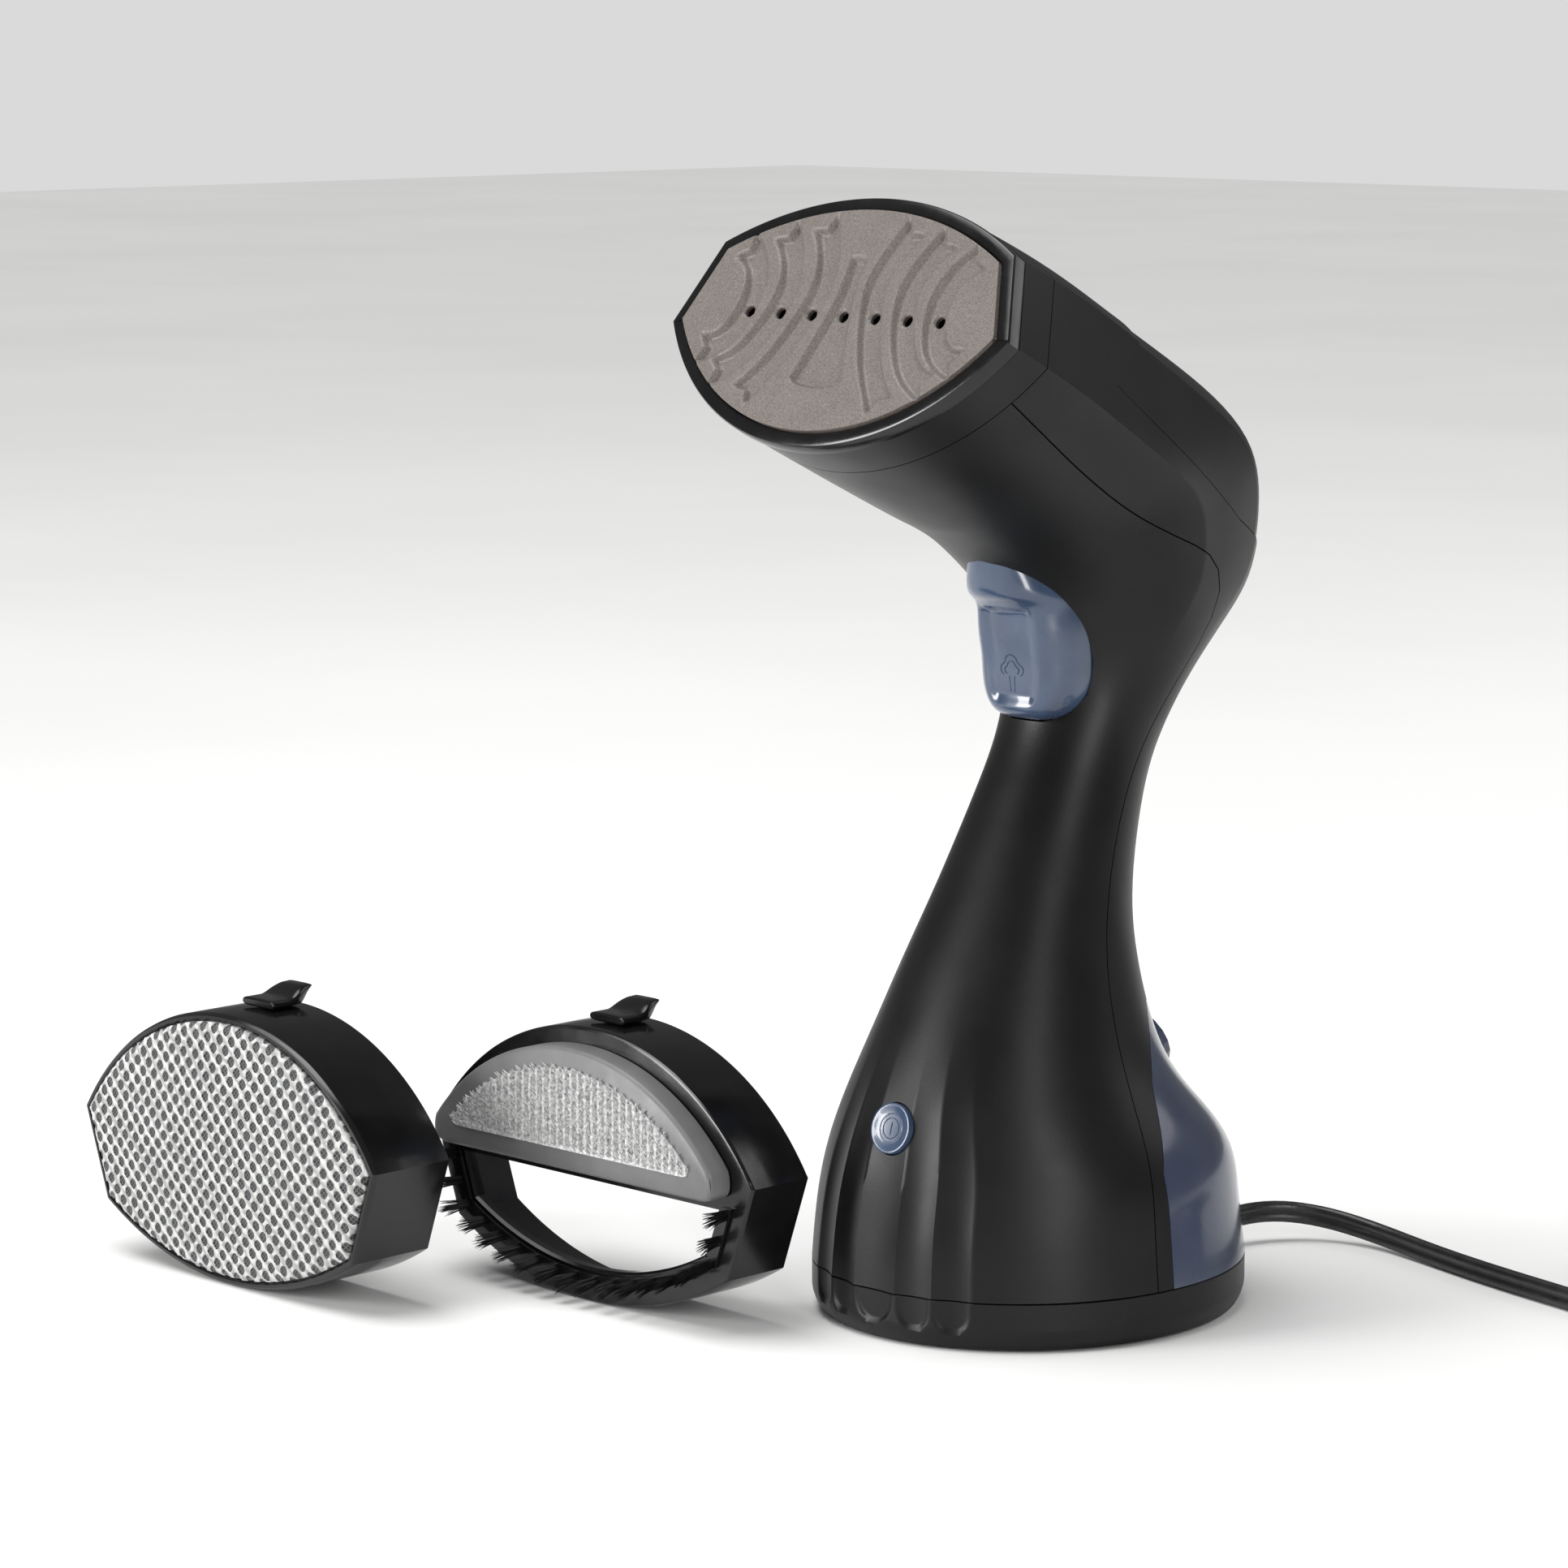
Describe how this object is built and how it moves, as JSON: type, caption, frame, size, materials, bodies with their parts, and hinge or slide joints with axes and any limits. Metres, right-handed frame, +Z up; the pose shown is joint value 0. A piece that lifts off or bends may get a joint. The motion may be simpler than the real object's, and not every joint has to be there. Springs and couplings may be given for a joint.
{
  "type": "garment steamer",
  "caption": "Handheld garment steamer with ceramic steam plate, rear water tank, finger trigger, mains lead and two clip-on heads.",
  "frame": {"origin": "middle of the base pad's underside, on the surface that the steamer stands on", "axes": "+Z up, -Y the way the steam plate faces, +X to the steamer's left"},
  "size_m": [0.4001, 0.2924, 0.2729],
  "materials": {
    "shell_black": "satin moulded",
    "gloss_black": "polished moulded",
    "blue_control": "polished moulded",
    "tank_clear": "smoky clear moulded plastic",
    "ceramic_plate": "speckled ceramic coating",
    "cast_alloy": "as cast",
    "zinc_steel": "zinc plated",
    "plug_brass": "plated",
    "flex_black": "satin",
    "silicone": "milky",
    "inner_plastic": "moulded",
    "board": "lacquered",
    "satin_grey": "satin moulded",
    "mesh_fabric": "spacer mesh",
    "lint_pile": "short pile",
    "bristle": "nylon"
  },
  "bodies": {
    "root": {"nose_collar": "shell_black", "front_shell": "shell_black", "rear_shell": "shell_black", "top_cover": "shell_black", "plate_bezel": "gloss_black", "steam_plate": "ceramic_plate", "plate_seal": "silicone", "heater_block": "cast_alloy", "heater_cover": "zinc_steel", "thermostat": "zinc_steel", "thermal_fuse": "silicone", "trigger_pin": "zinc_steel", "trigger_bracket": "shell_black", "trigger_spring": "zinc_steel", "micro_switch": "inner_plastic", "control_board": "board", "power_switch": "inner_plastic", "chassis": "inner_plastic", "pump_body": "blue_control", "delivery_hose": "silicone", "suction_hose": "silicone", "wiring_loom": "flex_black", "base_ring": "shell_black", "base_plate": "inner_plastic", "base_pad": "flex_black", "base_screw_1": "zinc_steel", "base_screw_2": "zinc_steel", "base_screw_3": "zinc_steel", "strain_relief": "flex_black", "cord": "flex_black", "cord_coil": "flex_black", "plug_body": "flex_black", "plug_relief": "flex_black", "plug_blade_left": "plug_brass", "plug_blade_right": "plug_brass"},
    "tank": {"tank_body": "tank_clear", "tank_valve": "silicone", "lid_hinge": "tank_clear"},
    "filler_lid": {"filler_lid": "silicone"},
    "trigger": {"trigger": "blue_control"},
    "power_button": {"power_button": "blue_control"},
    "pump_piston": {"pump_piston": "zinc_steel"},
    "pad_head": {"pad_frame": "gloss_black", "pad_fabric": "mesh_fabric"},
    "pad_clip": {"pad_clip": "gloss_black"},
    "brush_head": {"brush_frame": "gloss_black", "lint_holder": "satin_grey", "lint_pad": "lint_pile", "bristle_strip": "bristle"},
    "brush_clip": {"brush_clip": "gloss_black"}
  },
  "joints": [
    {"name": "trigger_pull", "type": "hinge", "parent": "root", "child": "trigger", "pos_m": [0, -0.004, 0.192], "axis": [1, 0, 0], "range_deg": [0, 5], "stiffness_Nm_per_rad": 0.6, "springref_deg": -2.86},
    {"name": "power_press", "type": "slide", "parent": "root", "child": "power_button", "axis": [0, 0.9613, -0.2756], "range_m": [0, 0.0012], "stiffness_N_per_m": 800, "springref_m": -0.001},
    {"name": "pump_stroke", "type": "slide", "parent": "root", "child": "pump_piston", "axis": [1, 0, 0], "range_m": [0, 0.002], "stiffness_N_per_m": 1500, "springref_m": -0.0005},
    {"name": "tank_pull", "type": "slide", "parent": "root", "child": "tank", "axis": [0, 1, 0], "range_m": [0, 0.09]},
    {"name": "filler_lid_open", "type": "hinge", "parent": "tank", "child": "filler_lid", "pos_m": [0, 0.03365, 0.07183], "axis": [1, 0, 0], "range_deg": [0, 100]},
    {"name": "pad_lift", "type": "slide", "parent": "root", "child": "pad_head", "axis": [0, 0, 1], "range_m": [0, 0.12]},
    {"name": "pad_clip_press", "type": "hinge", "parent": "pad_head", "child": "pad_clip", "pos_m": [-0.151, -0.12, 0.0701], "axis": [1, 0, 0], "range_deg": [0, 10], "stiffness_Nm_per_rad": 0.05, "springref_deg": -5.73},
    {"name": "brush_lift", "type": "slide", "parent": "root", "child": "brush_head", "axis": [0, 0, 1], "range_m": [0, 0.12]},
    {"name": "brush_clip_press", "type": "hinge", "parent": "brush_head", "child": "brush_clip", "pos_m": [-0.075, -0.072, 0.0701], "axis": [1, 0, 0], "range_deg": [0, 10], "stiffness_Nm_per_rad": 0.05, "springref_deg": -5.73}
  ]
}
